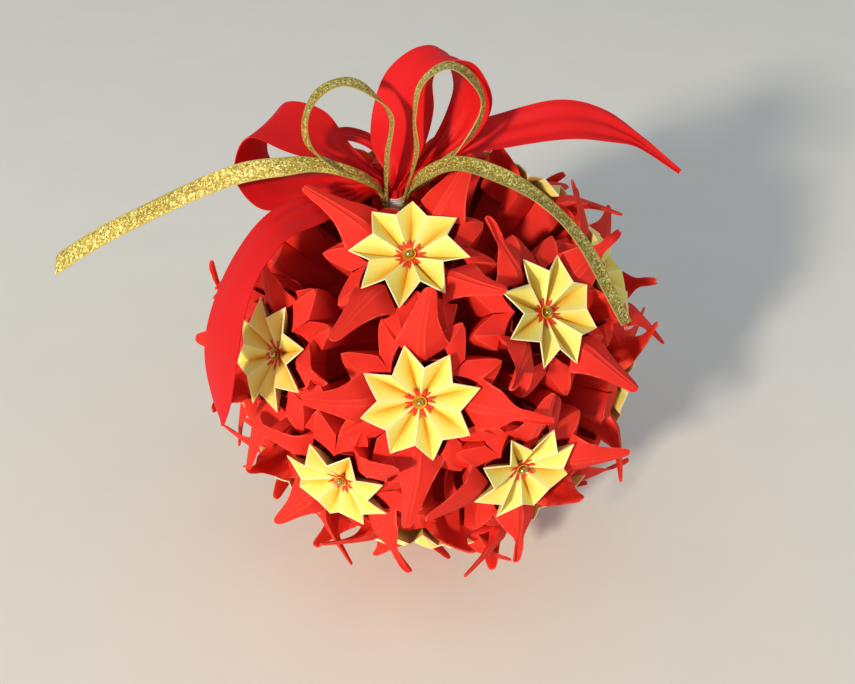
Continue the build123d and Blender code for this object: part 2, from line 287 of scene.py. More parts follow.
RED = (0.85, 0.028, 0.013)
RED_DEEP = (0.78, 0.024, 0.012)
RED_PALE = (0.92, 0.12, 0.06)
RED_PALE_DEEP = (0.85, 0.10, 0.06)
RED_PAINTED_SHADE = (0.42, 0.004, 0.003)
YELLOW = (0.95, 0.83, 0.20)
YELLOW_DEEP = (0.94, 0.79, 0.17)
YELLOW_PALE = (0.97, 0.90, 0.52)
YELLOW_PALE_DEEP = (0.96, 0.86, 0.42)
YELLOW_PAINTED_SHADE = (0.90, 0.46, 0.015)
PUNCHED = (0.85, 0.07, 0.02)
PUNCHED_DEEP = (0.75, 0.04, 0.015)
PUNCHED_PALE = (0.9, 0.12, 0.05)
red_paper = paper("red_paper", RED, RED_DEEP, RED_PALE, RED_PAINTED_SHADE)
# Each paper's second material colours the rims of its thickness pale: a painted highlight
red_edge = paper("red_paper_edge", RED_PALE, RED_PALE_DEEP, RED_PALE, RED_PAINTED_SHADE)
yellow_paper = paper("yellow_paper", YELLOW, YELLOW_DEEP, YELLOW_PALE, YELLOW_PAINTED_SHADE)
yellow_edge = paper(
    "yellow_paper_edge", YELLOW_PALE, YELLOW_PALE_DEEP, YELLOW_PALE, YELLOW_PAINTED_SHADE
)
punch_paper = paper("punched_paper", PUNCHED, PUNCHED_DEEP, PUNCHED_PALE, RED_PAINTED_SHADE)


def woven(name, colour, deep, threads, roughness, sheen):
    """Ribbon: fine lines across its length, and slanting ones over them."""
    made, tree, shader = material(name, colour, roughness)
    place = node(tree, "ShaderNodeUVMap", uv_map="UVMap").outputs["UV"]
    both = node(tree, "ShaderNodeMath", operation="MULTIPLY")
    for socket, direction in zip(both.inputs, ("DIAGONAL", "Y")):
        wave = node(tree, "ShaderNodeTexWave", wave_type="BANDS", bands_direction=direction)
        wave.inputs["Scale"].default_value = threads
        wave.inputs["Distortion"].default_value = 0.6
        wave.inputs["Detail"].default_value = 1.0
        tree.links.new(place, wave.inputs["Vector"])
        tree.links.new(wave.outputs["Fac"], socket)
    tint = ramp(tree, both.outputs["Value"], ((0.0, deep), (0.6, colour)))
    tree.links.new(tint, shader.inputs["Base Color"])
    bumped(tree, shader, both.outputs["Value"], strength=0.18, distance=0.0001)
    shader.inputs["Sheen Weight"].default_value = sheen
    shader.inputs["Sheen Tint"].default_value = (1.0, 0.25, 0.2, 1)
    shader.inputs["Specular IOR Level"].default_value = 0.3
    return made


CLOTH = (0.74, 0.004, 0.004)
CLOTH_DEEP = (0.68, 0.003, 0.004)
red_cloth = woven("red_ribbon", CLOTH, CLOTH_DEEP, threads=0.42, roughness=0.6, sheen=0.04)

# The gold ribbon: its flakes from dark to bright, and its plain border
FLAKES = (
    (0.0, (0.18, 0.11, 0.01)),
    (0.35, (0.40, 0.28, 0.03)),
    (0.7, (0.56, 0.42, 0.06)),
    (0.93, (0.88, 0.80, 0.30)),
)
GOLD = (0.6, 0.45, 0.12)
GOLD_BORDER = (0.44, 0.34, 0.08)


def glitter(name):
    """Metallic ribbon: bright and dark flakes, with a plain dull border on either side."""
    made, tree, shader = material(name, GOLD, roughness=0.55)
    place = node(tree, "ShaderNodeUVMap", uv_map="UVMap").outputs["UV"]
    flakes = node(tree, "ShaderNodeTexVoronoi", feature="F1")
    flakes.inputs["Scale"].default_value = 1.8
    tree.links.new(place, flakes.inputs["Vector"])
    split = node(tree, "ShaderNodeSeparateColor")
    tree.links.new(flakes.outputs["Color"], split.inputs["Color"])
    tint = ramp(tree, split.outputs["Red"], FLAKES)
    bordered = laid_over(tree, "edge", tint, GOLD_BORDER)
    tree.links.new(bordered, shader.inputs["Base Color"])
    bumped(tree, shader, split.outputs["Green"], strength=0.8, distance=0.0004)
    shader.inputs["Metallic"].default_value = 0.3
    return made


gold_cloth = glitter("gold_ribbon")


def mottled(
    name, colour, other, roughness, scale, stretch=(1, 1, 1), bump_height=0.00005, metallic=0.0
):
    """A small hard or spun surface: cloudy colour and the same cloud in the bump."""
    made, tree, shader = material(name, colour, roughness)
    place = node(tree, "ShaderNodeTexCoord").outputs["Object"]
    fit = node(tree, "ShaderNodeMapping")
    fit.inputs["Scale"].default_value = stretch
    tree.links.new(place, fit.inputs["Vector"])
    cloud = noise(tree, fit.outputs["Vector"], scale=scale, detail=3.0)
    tint = ramp(tree, cloud, ((0.35, other), (0.65, colour)))
    tree.links.new(tint, shader.inputs["Base Color"])
    bumped(tree, shader, cloud, strength=0.5, distance=bump_height)
    shader.inputs["Metallic"].default_value = metallic
    return made


SEQUIN, SEQUIN_DEEP = (0.92, 0.52, 0.04), (0.80, 0.38, 0.02)
BEAD, BEAD_DEEP = (0.70, 0.55, 0.24), (0.48, 0.34, 0.10)
THREAD, THREAD_DEEP = (0.80, 0.76, 0.69), (0.62, 0.56, 0.50)
FLOOR, FLOOR_DEEP = (0.90, 0.84, 0.74), (0.885, 0.825, 0.725)
sequin_gold = mottled("sequin", SEQUIN, SEQUIN_DEEP, roughness=0.2, scale=500.0)
bead_gold = mottled("bead", BEAD, BEAD_DEEP, roughness=0.14, scale=700.0, metallic=1.0)
thread_white = mottled(
    "white_thread", THREAD, THREAD_DEEP, roughness=0.8, scale=1400.0, stretch=(1, 1, 3),
    bump_height=0.0002,
)
floor_material = mottled(
    "floor", FLOOR, FLOOR_DEEP, roughness=0.9, scale=25.0, bump_height=0.0001
)


# A petal: its half width in mm at shares of its length, and the rows along it
PETAL_OUTLINE = (
    (0, 9.4), (0.1, 8.1), (0.22, 6.4), (0.36, 5.0), (0.5, 4.0),
    (0.65, 3.25), (0.8, 2.6), (0.92, 2.0), (0.98, 1.4), (1.0, 0.7),
)
PETAL_ROWS = np.concatenate((np.linspace(0, 0.86, 14), (0.91, 0.95, 0.975, 0.99, 1.0)))
# Its two creases: their distance from the middle at the tip, and what the base adds to it
CREASE_TIP = 0.45
CREASE_BASE = 1.0
CREASE_CURVE = 1.3
CREASE_HEIGHT = 0.12
CREASE_WIDTH = 0.14
# The columns between a crease and the edge, as shares of that strip, and the step before them
SIDE_COLUMNS = (0.3, 0.6, 0.9, 1.0)
SIDE_STEP = 0.3
# How far the base's corners lie out along the petal, and how far the base passes under the star
BASE_SLANT = 6.2
BASE_DROP = 1.9
# How the sides fall away from the creases, at the base and less so at the tip
SIDE_SLOPE = 0.52
SLOPE_EASE = 0.16
SIDE_FLARE = 0.010
MIDDLE_DIP = 0.25
ARCH = 0.42
WAVE = 0.35
WAVE_TURN = 7
# A curled tip: the share of the half width that stays flat, and the roll of the rest
CURL_FLAT = 0.2
CURL_TURN = 3.0
CURL_WIDTH = 0.42
CURL_HEIGHT = 0.5
# The folded paper under a petal: how hollow it is at the tip, what the base adds, and how
# deep it goes down at the root
HOLLOW = 0.35
HOLLOW_BASE = 1.1
ROOT_DEPTH = 9.0
# How pale the edges and the creases are: partly whitened paper, partly painted highlight
EDGE_PALE = 0.75
CREASE_PALE = 0.35

# A lobe: its columns from the cleft to the petal, and its rows out to the blunt end and under
LOBE_COLUMNS = (0, 0.1, 0.2, 0.3, 0.38, 0.44, 0.49, 0.52, 0.55, 0.6, 0.68, 0.78, 0.89, 1.0)
LOBE_ROWS = (0, 0.12, 0.26, 0.42, 0.58, 0.74, 0.88, 0.96, 1.0)
UNDER_ROWS = (0, 0.1, 0.25, 0.45, 0.7, 1.0)
# Its inner line as angle, radius and height at the cleft, the middle and the petal, and the
# two ends of its outer line; the tip between them moves with each lobe
INNER_SHARES = (0, 0.5, 1)
INNER_ANGLES = (0, PLEAT, 23.5)
INNER_RADII = (RIDGE_RADIUS, 20.6, 21.8)
INNER_HEIGHTS = (2.8, 1.4, 0.0)
CLEFT_RADIUS, CLEFT_ANGLE, CLEFT_DROP = 20.8, 1.0, 1.0
CROTCH_RADIUS, CROTCH_ANGLE, CROTCH_DROP = 24.6, 31.0, 0.6
LOBE_REACH = 32.5
LOBE_ANGLE = 18.5
LOBE_DROP = 3.0
# Its corner, and how far on either side of it the outer line bends
CORNER = 0.52
CORNER_ROUND = 0.10
CORNER_PULL = 1.1
LOBE_PUFF = 0.9
LOBE_SWELL = 2.3
LOBE_SAG = 0.5
PULL_WIDTH = 0.09
SWELL_WIDTH = 0.17
CORNER_WIDTH = 0.022
# How pale the fold at the corner and the blunt end are: partly whitened paper, partly painted
# highlight
CORNER_PALE = 0.45
BLUNT_PALE = 0.35
# The paper turned under: how far in it has gone at shares of its way, and where it ends
UNDER_SHARES = (0, 0.12, 0.35, 0.65, 1)
UNDER_INWARDS = (0, 0.02, 0.16, 0.52, 1)
UNDER_GAP = 1.0
UNDER_RISE = 2

# The body: how deep its pleats are, and how far the mouth's own pleats step down
PLEAT_DEPTH = 0.9
MOUTH_STEP = 0.5
SMALLEST_RADIUS = 0.05
# How dark the painted shade is on the body and on the paper turned under the lobes
INSIDE_SHADE = 0.7

# How far petals differ from one another in bend, length, height and width, and their curls
BENDS = (-1.8, 1.8)
LENGTHS = (-1.5, 0.0)
HEIGHTS = (-1.2, 0.0)
WIDTHS = (0.9, 1.12)
CURLS = (0, 0, 0, 0.7)
# How far lobes differ in reach and drop in mm, and in their lean in degrees
LOBE_REACHES = (-2.2, 0.8)
LOBE_LEANS = (-4.5, 2.5)
LOBE_DROPS = (-1.2, 1.6)

# Petals whose shape the photograph shows: flower and quarter, then the sideways bend of
# the tip, extra length, extra height, width and curl
PETALS = {
    (3, 2): (0.5, -4.5, 1.0, 0.95, 1.0),
    (2, 3): (-1.0, 2.5, 0.0, 1.15, 0.8),
    (2, 0): (-2.4, -1.0, 0.0, 1.15, 0.0),
    (2, 1): (-1.5, -3.5, 0.0, 1.0, 0.0),
    (2, 2): (-2.6, 0.0, 0.0, 1.0, 0.0),
    (1, 1): (0.6, 1.0, 0.0, 0.92, 0.0),
    (1, 0): (0.5, -2.0, 0.0, 1.1, 0.0),
    (1, 2): (0.0, 0.0, 0.0, 1.0, 0.0),
    (1, 3): (2.0, -4.0, 0.0, 1.0, 0.0),
}

# Lobes pushed down under the knot of the bow: how much shorter and lower they are
TUCKED = {(1, 0): (6.0, 2.5)}

# How far three stars sit turned in their lilies, in degrees, measured on the photograph
STAR_TURNS = {1: 6, 2: -6, 3: 5}


def polar_grid(radius, angle, height):
    angle = np.radians(angle)
    return np.stack((radius * np.cos(angle), radius * np.sin(angle), height + 0 * radius), -1)


def polar_point(radius, degrees, height):
    angle = math.radians(degrees)
    return np.array((radius * math.cos(angle), radius * math.sin(angle), height))


def about_axis(x, y, z, degrees):
    """Points turned about a flower's axis."""
    turn = math.radians(degrees)
    return np.stack((
        x * math.cos(turn) - y * math.sin(turn),
        x * math.sin(turn) + y * math.cos(turn),
        z,
    ), -1)


def petal_points(axis_turn, reach, rise, width, bend, curl, rng):
    """A petal from the star's edge to its tip: its upper face, and the folded paper under it."""
    s = PETAL_ROWS[:, None]
    size = np.interp(s, *zip(*PETAL_OUTLINE))
    size = size * (1 + (width - 1) * smooth(0, 0.35, s))
    # Columns follow the two creases, which close in on each other towards the tip
    crease = np.minimum(CREASE_TIP + CREASE_BASE * (1 - s) ** CREASE_CURVE, size * 0.5)
    outer = np.minimum(crease + SIDE_STEP, size * 0.6)
    half = [0 * s, 0.6 * crease, crease, outer]
    half += [outer + (size - outer) * part for part in SIDE_COLUMNS]
    half = np.concatenate(half, axis=1)
    y = np.concatenate((-half[:, :0:-1], half), axis=1)
    t = y / size
    x = RIDGE_RADIUS + BASE_SLANT * np.abs(t)
    x = x + (reach - x) * s
    along = (x - RIDGE_RADIUS) / (reach - RIDGE_RADIUS)
    centre = RIDGE_RISE + (rise - RIDGE_RISE) * ((1 + ARCH) * along - ARCH * along ** 2)
    slope = SIDE_SLOPE - SLOPE_EASE * s
    away = np.maximum(np.abs(y) - crease, 0)
    z = centre - away * slope + SIDE_FLARE * away ** 2
    z -= MIDDLE_DIP * np.maximum(1 - np.abs(y) / crease, 0) * smooth(0.02, 0.2, s)
    # The base passes under the star
    z -= BASE_DROP * (1 - smooth(0.0, 0.2, s))
    on_crease = np.exp(-((np.abs(y) - crease) / CREASE_WIDTH) ** 2)
    on_crease = on_crease * smooth(0.0, 0.12, s) * (1 - 0.6 * s)
    z += CREASE_HEIGHT * on_crease
    if curl > 0:
        # The sides of the tip roll up towards each other into a small tube
        amount = curl * smooth(0.30, 0.95, s)
        swing = amount * np.clip(np.abs(t) - CURL_FLAT, 0, 1) * CURL_TURN
        rolled_y = np.sign(y) * (CURL_FLAT * size + np.sin(swing) * size * CURL_WIDTH)
        rolled_z = centre + (1 - np.cos(swing)) * size * CURL_HEIGHT
        blend = np.where(np.abs(t) > CURL_FLAT, 1, 0) * smooth(0.25, 0.6, s)
        y = y * (1 - blend) + rolled_y * blend
        z = z * (1 - blend) + rolled_z * blend
    phase = rng.uniform(0, 6)
    wave = WAVE * np.sin(along * WAVE_TURN + phase) * t
    z = z + wave * smooth(0.1, 0.5, along) * (1 - along)
    # The folded paper under it, hollow between the two edges
    low_x, low_y, part = x[:, ::2], y[:, ::2], t[:, ::2]
    chord = z[:, :1] * (1 - part) / 2 + z[:, -1:] * (1 + part) / 2
    hollow = (HOLLOW + HOLLOW_BASE * (1 - s)) * (1 - part ** 2)
    root = ROOT_DEPTH * (1 - s) ** 7 * (1 - part ** 6)
    low_z = chord - hollow - root
    if curl > 0:
        rolled = smooth(0.25, 0.6, s)
        low_z = low_z * (1 - rolled) + (z[:, ::2] - 0.5 * (1 - part ** 2)) * rolled
    swerve = bend * smooth(0.15, 1.0, s) * s
    # Pale edges and creases: partly whitened paper, partly painted highlight
    edge = EDGE_PALE * (np.abs(t) > 0.95) + CREASE_PALE * on_crease
    upper = about_axis(x, y + swerve, z, axis_turn)
    lower = about_axis(low_x, low_y + swerve, low_z, axis_turn)
    return upper, edge, lower


def lobe_points(fold, side, reach, lean, drop):
    """One of the twin lobes, from the star's edge out to its blunt end, and turned under."""
    v = np.array(LOBE_COLUMNS)[None, :]
    u = np.array(LOBE_ROWS)[:, None]
    # Inner line: under the star, from the notch to the point and on to the petal's base
    inner_angle = np.interp(v, INNER_SHARES, INNER_ANGLES)
    inner_radius = np.interp(v, INNER_SHARES, INNER_RADII)
    inner_height = np.interp(v, INNER_SHARES, INNER_HEIGHTS)
    inner = polar_grid(inner_radius, inner_angle, inner_height)
    # Outer line: from the cleft straight to a rounded corner, and back to the petal's edge
    cleft = polar_point(CLEFT_RADIUS, CLEFT_ANGLE, -CLEFT_DROP - 0.3 * drop)
    tip = polar_point(reach, LOBE_ANGLE + lean, -LOBE_DROP - drop)
    crotch = polar_point(CROTCH_RADIUS, CROTCH_ANGLE, -CROTCH_DROP)
    first = np.clip(v / CORNER, 0, 1)
    last = np.clip((v - CORNER) / (1 - CORNER), 0, 1)
    one = cleft + (tip - cleft) * first[..., None]
    two = tip + (crotch - tip) * last[..., None]
    bend = smooth(CORNER - CORNER_ROUND, CORNER + CORNER_ROUND, v)[..., None]
    outer = one * (1 - bend) + two * bend
    outward = tip / np.linalg.norm(tip[:2]) * np.array((1, 1, 0))
    pull = CORNER_PULL * np.exp(-((v - CORNER) / PULL_WIDTH) ** 2)
    puff = LOBE_PUFF * np.sin(first * math.pi) * (v < CORNER)
    outer = outer - pull[..., None] * outward
    outer = outer + puff[..., None] * outward
    front = inner + (outer - inner) * u[..., None]
    sag = np.sin(u * math.pi * 0.9)
    swell = LOBE_SWELL * np.exp(-np.abs(v - CORNER) / SWELL_WIDTH)
    front[..., 2] += sag * (swell - LOBE_SAG)
    # Pale fold at the corner and at the blunt end: partly whitened paper, partly painted highlight
    edge = CORNER_PALE * np.exp(-((v - CORNER) / CORNER_WIDTH) ** 2) * smooth(0.05, 0.3, u)
    edge = edge + np.where(u > 0.96, BLUNT_PALE, 0)
    # The paper turns under at the blunt end and goes back down to the body
    w = np.array(UNDER_ROWS)[:, None]
    outer_radius = np.hypot(outer[..., 0], outer[..., 1])
    outer_angle = np.degrees(np.arctan2(outer[..., 1], outer[..., 0]))
    inwards = np.interp(w, UNDER_SHARES, UNDER_INWARDS)
    under_radius = outer_radius + (BODY_RADIUS + UNDER_GAP - outer_radius) * inwards
    under_angle = outer_angle + (inner_angle - outer_angle) * w
    under_end = BODY_HEIGHT - STAR_SEAT + UNDER_RISE
    under_height = outer[..., 2] + (under_end - outer[..., 2]) * w
    under = polar_grid(under_radius, side * under_angle + fold, under_height)
    front = about_axis(front[..., 0], side * front[..., 1], front[..., 2], fold)
    return front, edge, under


def body_points():
    """The pleated body from the mouth down to the sewn point."""
    pleats = np.where(np.arange(FOLDS) % 2, 1.0, -1.0)[None, :]
    angle = np.arange(0, 360, PLEAT)[None, :]
    # From 0 at the mouth to 1 at the body's height and 2 at the sewn point
    body = np.interp(np.linspace(0, 1, 9)[:, None], (0, 0.4, 1), (0, 1, 2))
    mouth = MOUTH_RADIUS + MOUTH_WAVE * pleats
    mouth_height = STAR_SEAT + MOUTH_RISE - MOUTH_STEP * pleats
    radius = np.where(
        body < 1,
        mouth + (BODY_RADIUS - mouth) * body,
        BODY_RADIUS * (2 - body) + 0.01,
    ) + pleats * PLEAT_DEPTH * np.sin(body * math.pi / 2)
    height = np.where(
        body < 1,
        mouth_height + (BODY_HEIGHT - mouth_height) * body,
        BODY_HEIGHT + (LILY_POINT - BODY_HEIGHT) * (body - 1),
    )
    return polar_grid(np.maximum(radius, SMALLEST_RADIUS), angle, height)


def lily(number, rng):
    """A lily of four petals, four pairs of lobes and a pleated body."""
    sheet = Sheet()
    seat = np.array((0, 0, STAR_SEAT))
    # Painted shade on the paper turned under the lobes, from none at the blunt end to the most at
    # the body
    inwards = np.linspace(0, INSIDE_SHADE, len(UNDER_ROWS))[:, None]
    for q in range(QUARTERS):
        shape = PETALS.get((number, q))
        if shape is None:
            # The three lilies that the ball stands on have straight petals of full length
            spread = 0.0 if number in FEET else 1.0
            shape = (
                rng.uniform(*BENDS) * spread,
                rng.uniform(*LENGTHS) * spread,
                rng.uniform(*HEIGHTS) * spread,
                rng.uniform(*WIDTHS),
                rng.choice(CURLS) * spread,
            )
        bend, longer, higher, width, curl = shape
        upper, edge, lower = petal_points(
            QUARTER * q, PETAL_REACH + longer, PETAL_RISE + higher, width, bend, curl, rng
        )
        sheet.grid(upper + seat, edge)
        sheet.grid(lower + seat, flip=True)
        shorter, sunk = TUCKED.get((number, q), (0, 0))
        for side in (-1, 1):
            reach = LOBE_REACH - shorter + rng.uniform(*LOBE_REACHES)
            lean = rng.uniform(*LOBE_LEANS)
            drop = sunk + rng.uniform(*LOBE_DROPS)
            front, edge, under = lobe_points(QUARTER * (q + 0.5), side, reach, lean, drop)
            sheet.grid(front + seat, edge, flip=side < 0)
            sheet.grid(under + seat, flip=side < 0, deep=inwards)
    # The body takes the painted shade all over
    sheet.grid(body_points(), wrap=True, flip=True, deep=INSIDE_SHADE)
    piece = sheet.build(f"lily_{number:02d}", flower_axes(*FLOWERS[number - 1]))
    finish_sheet(piece, PAPER, (red_paper, red_edge), sharp=30, rim=1)
    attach(piece, "root")
    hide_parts(f"red_lily_{number:02d}")


# A star's facet: its rows outwards, and how its two folds rise
FACET_ROWS = (0, 0.07, 0.15, 0.25, 0.36, 0.48, 0.6, 0.72, 0.84, 0.95, 1.0)
FACET_COLUMNS = 6
VALLEY_CURVE = 2.4
RIDGE_CURVE = 0.85
RIDGE_EXTRA = 1.7
# The strip's end laps over its start by a share of a facet, from one row outwards
LAP_SHARE = 0.24
LAP_LIFT = 0.28
LAP_ROW = 3
# How pale its rim and ridges are, a painted highlight, and how deep the painted shade is in its
# valleys
RIM_HIGHLIGHT = 0.8
RIDGE_HIGHLIGHT = 0.45
RIDGE_WIDTH = 0.05
VALLEY_SHADE = 0.95
# How far a whole star turns, and each of its folds, in degrees; how far the folds differ in
# height and length, and the facets in their bulge, in mm
WHOLE_TURNS = (-4, 4)
FOLD_TURNS = (-3.5, 3.5)
LIFTS = (-0.6, 0.6)
EXTRA_LENGTHS = (-0.8, 0.8)
BULGES = (-0.1, 0.45)


def star(number, rng):
    """A star of sixteen facets: deep valleys to its points, sharp ridges to its notches."""
    sheet = Sheet()
    seat = np.array((0, 0, STAR_SEAT))
    # The turn is drawn for every star, so that the draws after it stay in step
    whole = STAR_TURNS.get(number, rng.uniform(*WHOLE_TURNS))
    turned_by = whole + np.array([rng.uniform(*FOLD_TURNS) for _ in range(FOLDS)])
    lift = np.array([rng.uniform(*LIFTS) for _ in range(FOLDS)])
    longer = np.array([rng.uniform(*EXTRA_LENGTHS) for _ in range(FOLDS)])
    u = np.array(FACET_ROWS)[:, None]
    v = np.linspace(0, 1, FACET_COLUMNS)[None, :]
    seam = rng.randint(0, 8) * 2

    def fold_line(m):
        k = m % FOLDS
        if m % 2:
            radius = STAR_RADIUS + longer[k]
            height = (STAR_RISE + lift[k]) * u ** VALLEY_CURVE
        else:
            radius = NOTCH_RADIUS + longer[k] * 0.5
            height = (NOTCH_RISE + RIDGE_EXTRA + lift[k]) * u ** RIDGE_CURVE
        return polar_grid(radius * u, m * PLEAT + turned_by[k], height)

    for k in range(FOLDS):
        first, second = fold_line(k), fold_line(k + 1)
        facet = first + (second - first) * v[..., None]
        bulge = rng.uniform(*BULGES)
        facet[..., 2] += bulge * np.sin(v * math.pi) * np.sin(u * 2.6)
        ridge = v if k % 2 == 0 else 1 - v
        # Painted highlight along the ridges and round the rim
        pale_folds = RIDGE_HIGHLIGHT * np.exp(-(ridge * u / RIDGE_WIDTH) ** 2) * smooth(0.1, 0.4, u)
        edge = np.where(u > 0.97, RIM_HIGHLIGHT, 0) + pale_folds
        # Painted shade, deepening towards each valley
        deep = VALLEY_SHADE * smooth(0.15, 1.0, ridge) * smooth(0.0, 0.15, u)
        deep = deep * (1 - smooth(0.5, 1.05, u))
        sheet.grid(facet + seat, edge, deep=deep)
        if k == seam:
            # The end of the strip laps over its start along one ridge
            lap = first + (second - first) * (v * LAP_SHARE)[..., None]
            lap[..., 2] += LAP_LIFT
            # The lap's edge is pale: a painted highlight
            sheet.grid(lap[LAP_ROW:] + seat, np.where(v > 0.9, 0.5, 0))
    piece = sheet.build(f"star_{number:02d}", flower_axes(*FLOWERS[number - 1]))
    finish_sheet(piece, STAR_PAPER, (yellow_paper, yellow_edge), sharp=20, rim=1)
    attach(piece, "root")
    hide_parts(f"yellow_star_{number:02d}")


def join(pieces, name):
    with bpy.context.temp_override(active_object=pieces[0], selected_editable_objects=pieces):
        bpy.ops.object.join()
    pieces[0].name = name
    return pieces[0]


# A punched flower: its points' reach from the shortest to the longest, and the dents between
PUNCHED_REACH = (5.1, 6.1)
PUNCHED_DENT = 3.7
PUNCHED_STEPS = 64
PUNCHED_ROWS = (0.02, 0.3, 0.55, 0.75, 0.9, 1.0)
# How high it lies in the star, and how much of the star's own slope it takes
PUNCHED_LIFT = 0.75
PUNCHED_SLOPE = 0.95 * NOTCH_RISE / NOTCH_RADIUS


def punched(number, rng):
    """A punched paper flower with sixteen uneven points."""
    sheet = Sheet()
    angle = np.arange(PUNCHED_STEPS) * 360 / PUNCHED_STEPS + rng.uniform(0, 22)
    lengths = np.array([rng.uniform(*PUNCHED_REACH) for _ in range(FOLDS)])
    lengths = np.repeat(lengths, PUNCHED_STEPS // FOLDS)
    wave = np.abs(((angle - angle[0]) / PLEAT) % 1 - 0.5) * 2
    rim = PUNCHED_DENT + (lengths - PUNCHED_DENT) * (1 - wave) ** 0.8
    u = np.array(PUNCHED_ROWS)[:, None]
    radius = rim[None, :] * u
    ripple = 0.25 * u * np.sin(np.radians(angle * FOLDS / 2))[None, :]
    height = PUNCHED_LIFT + radius * PUNCHED_SLOPE + ripple
    sheet.grid(polar_grid(radius, angle[None, :], STAR_SEAT + height), wrap=True)
    piece = sheet.build(f"punched_{number:02d}", flower_axes(*FLOWERS[number - 1]))
    finish_sheet(piece, PUNCHED_PAPER, (punch_paper,), sharp=40)
    return piece


# A cup sequin's profile, and a bead's, as radius and height over the star's seat
CUP_PROFILE = (
    (0.01, 1.35), (0.6, 1.4), (1.3, 1.65), (2.0, 2.2), (2.4, 2.75),
    (2.45, 2.6), (2.05, 2.0), (1.3, 1.45), (0.6, 1.2), (0.01, 1.15),
)
BEAD_LIFT = 2.95
BEAD_PROFILE = [
    (
        BEAD_RADIUS * math.cos(math.radians(a)),
        BEAD_LIFT + BEAD_RADIUS * math.sin(math.radians(a)),
    )
    for a in np.linspace(-86, 86, 12)
]
TURNED_STEPS = 24


def turned(profile, name, axes, surface):
    """A small round piece from its profile of radius and height."""
    sheet = Sheet()
    profile = np.array(profile)
    angle = np.arange(TURNED_STEPS)[None, :] * 360 / TURNED_STEPS
    radius = profile[:, :1] + 0 * angle
    sheet.grid(polar_grid(radius, angle, STAR_SEAT + profile[:, 1:]), wrap=True)
    piece = sheet.build(name, axes)
    finish_sheet(piece, 0, (surface,), sharp=40)
    return piece


SEED = 11
rng = np.random.RandomState(SEED)
numbers = range(1, len(FLOWERS) + 1)
for number in numbers:
    lily(number, rng)
for number in numbers:
    star(number, rng)

punches = [punched(number, rng) for number in numbers]
cups, beads = [], []
for number, flower in enumerate(FLOWERS, start=1):
    axes = flower_axes(*flower)
    cups.append(turned(CUP_PROFILE, f"cup_{number:02d}", axes, sequin_gold))
    beads.append(turned(BEAD_PROFILE, f"bead_{number:02d}", axes, bead_gold))
TRIM = (
    (join(punches, "punched_flowers_paper"), "punched_flowers", "punched_red_paper"),
    (join(cups, "cup_sequins_gloss"), "cup_sequins", "sequin_yellow"),
    (join(beads, "gold_beads_gloss"), "gold_beads", "bead_gold"),
)
for piece, node_name, slot in TRIM:
    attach(piece, "root")
    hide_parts(node_name)


# The bow: the stations of each ribbon in mm from the ball's middle, one point on either edge.
# The back red loop and three stations of the left gold loop differ from the solids'
RED_ROUTES = {
    "left loop": (
        ((-14.5, -1, 72.5), (-14.5, 1, 72.5)),
        ((-35, -5, 85), (-29, 8, 86)),
        ((-51, -7, 92), (-38, 12, 98)),
        ((-63, -8, 98), (-51, 12, 102)),
        ((-69, -8, 90), (-58, 14, 93)),
        ((-69, -9, 79), (-60, 10, 82)),
        ((-59, -15, 73), (-52, 5, 77)),
        ((-42, -9, 73), (-37, 6, 77)),
        ((-26, -3, 72.5), (-24, 5, 75)),
        ((-14, -1, 71.6), (-14, 1, 71.6)),
    ),
    "back loop": (
        ((-14, 0, 72.3), (-13, 1.5, 72.3)),
        ((-19, 9, 83), (-18, 18, 81.5)),
        ((-31, 13, 87), (-31, 23, 85.5)),
        ((-39, 12, 81), (-39.5, 22, 82)),
        ((-33, 9, 75), (-33, 18, 74)),
        ((-22, 6, 73.5), (-21, 13, 73)),
        ((-13, 0.5, 73), (-12, 1.5, 73)),
    ),
    "top loop": (
        ((-14, 1, 73), (-12, -1, 73)),
        ((-21, 8, 85), (-3, -4, 91)),
        ((-21, 9, 99), (1, -4, 106)),
        ((-16, 12, 113), (1, -4, 118)),
        ((-6, 12, 122), (6, -4, 124)),
        ((3, 12, 122), (15, -4, 123)),
        ((8, 12, 111), (21, -4, 112)),
        ((7, 10, 102), (19, -3, 101)),
        ((1, 7, 89), (10, -1, 89)),
        ((-12, 1, 72.6), (-11.5, -1, 72.6)),
    ),
    "right tail": (
        ((-12, 1, 72), (-12, -1, 72)),
        ((5, 8, 91), (8, -2, 86)),
        ((27, 12, 98), (28, 0, 90)),
        ((47, 14, 102), (49, 4, 91)),
        ((64, 16, 97), (64, 8, 88)),
        ((80, 16, 85), (78, 12, 83)),
        ((95, 14, 73), (94, 13, 72)),
    ),
    "left tail": (
        ((-14, 0.5, 72), (-14, -1, 72)),
        ((-19, 3, 72.5), (-19, -0.4, 72)),
        ((-32, -5.5, 73.5), (-29, -13, 72)),
        ((-47, -15, 78), (-39, -26, 74)),
        ((-60, -25, 74), (-49, -38, 75)),
        ((-71, -34, 61), (-58, -49, 67)),
        ((-78, -44, 45), (-63, -57, 56)),
        ((-80, -50, 32), (-65, -66, 45)),
        ((-77, -60, 22), (-68, -70, 30)),
        ((-73, -67, 17), (-72, -69, 18)),
    ),
}
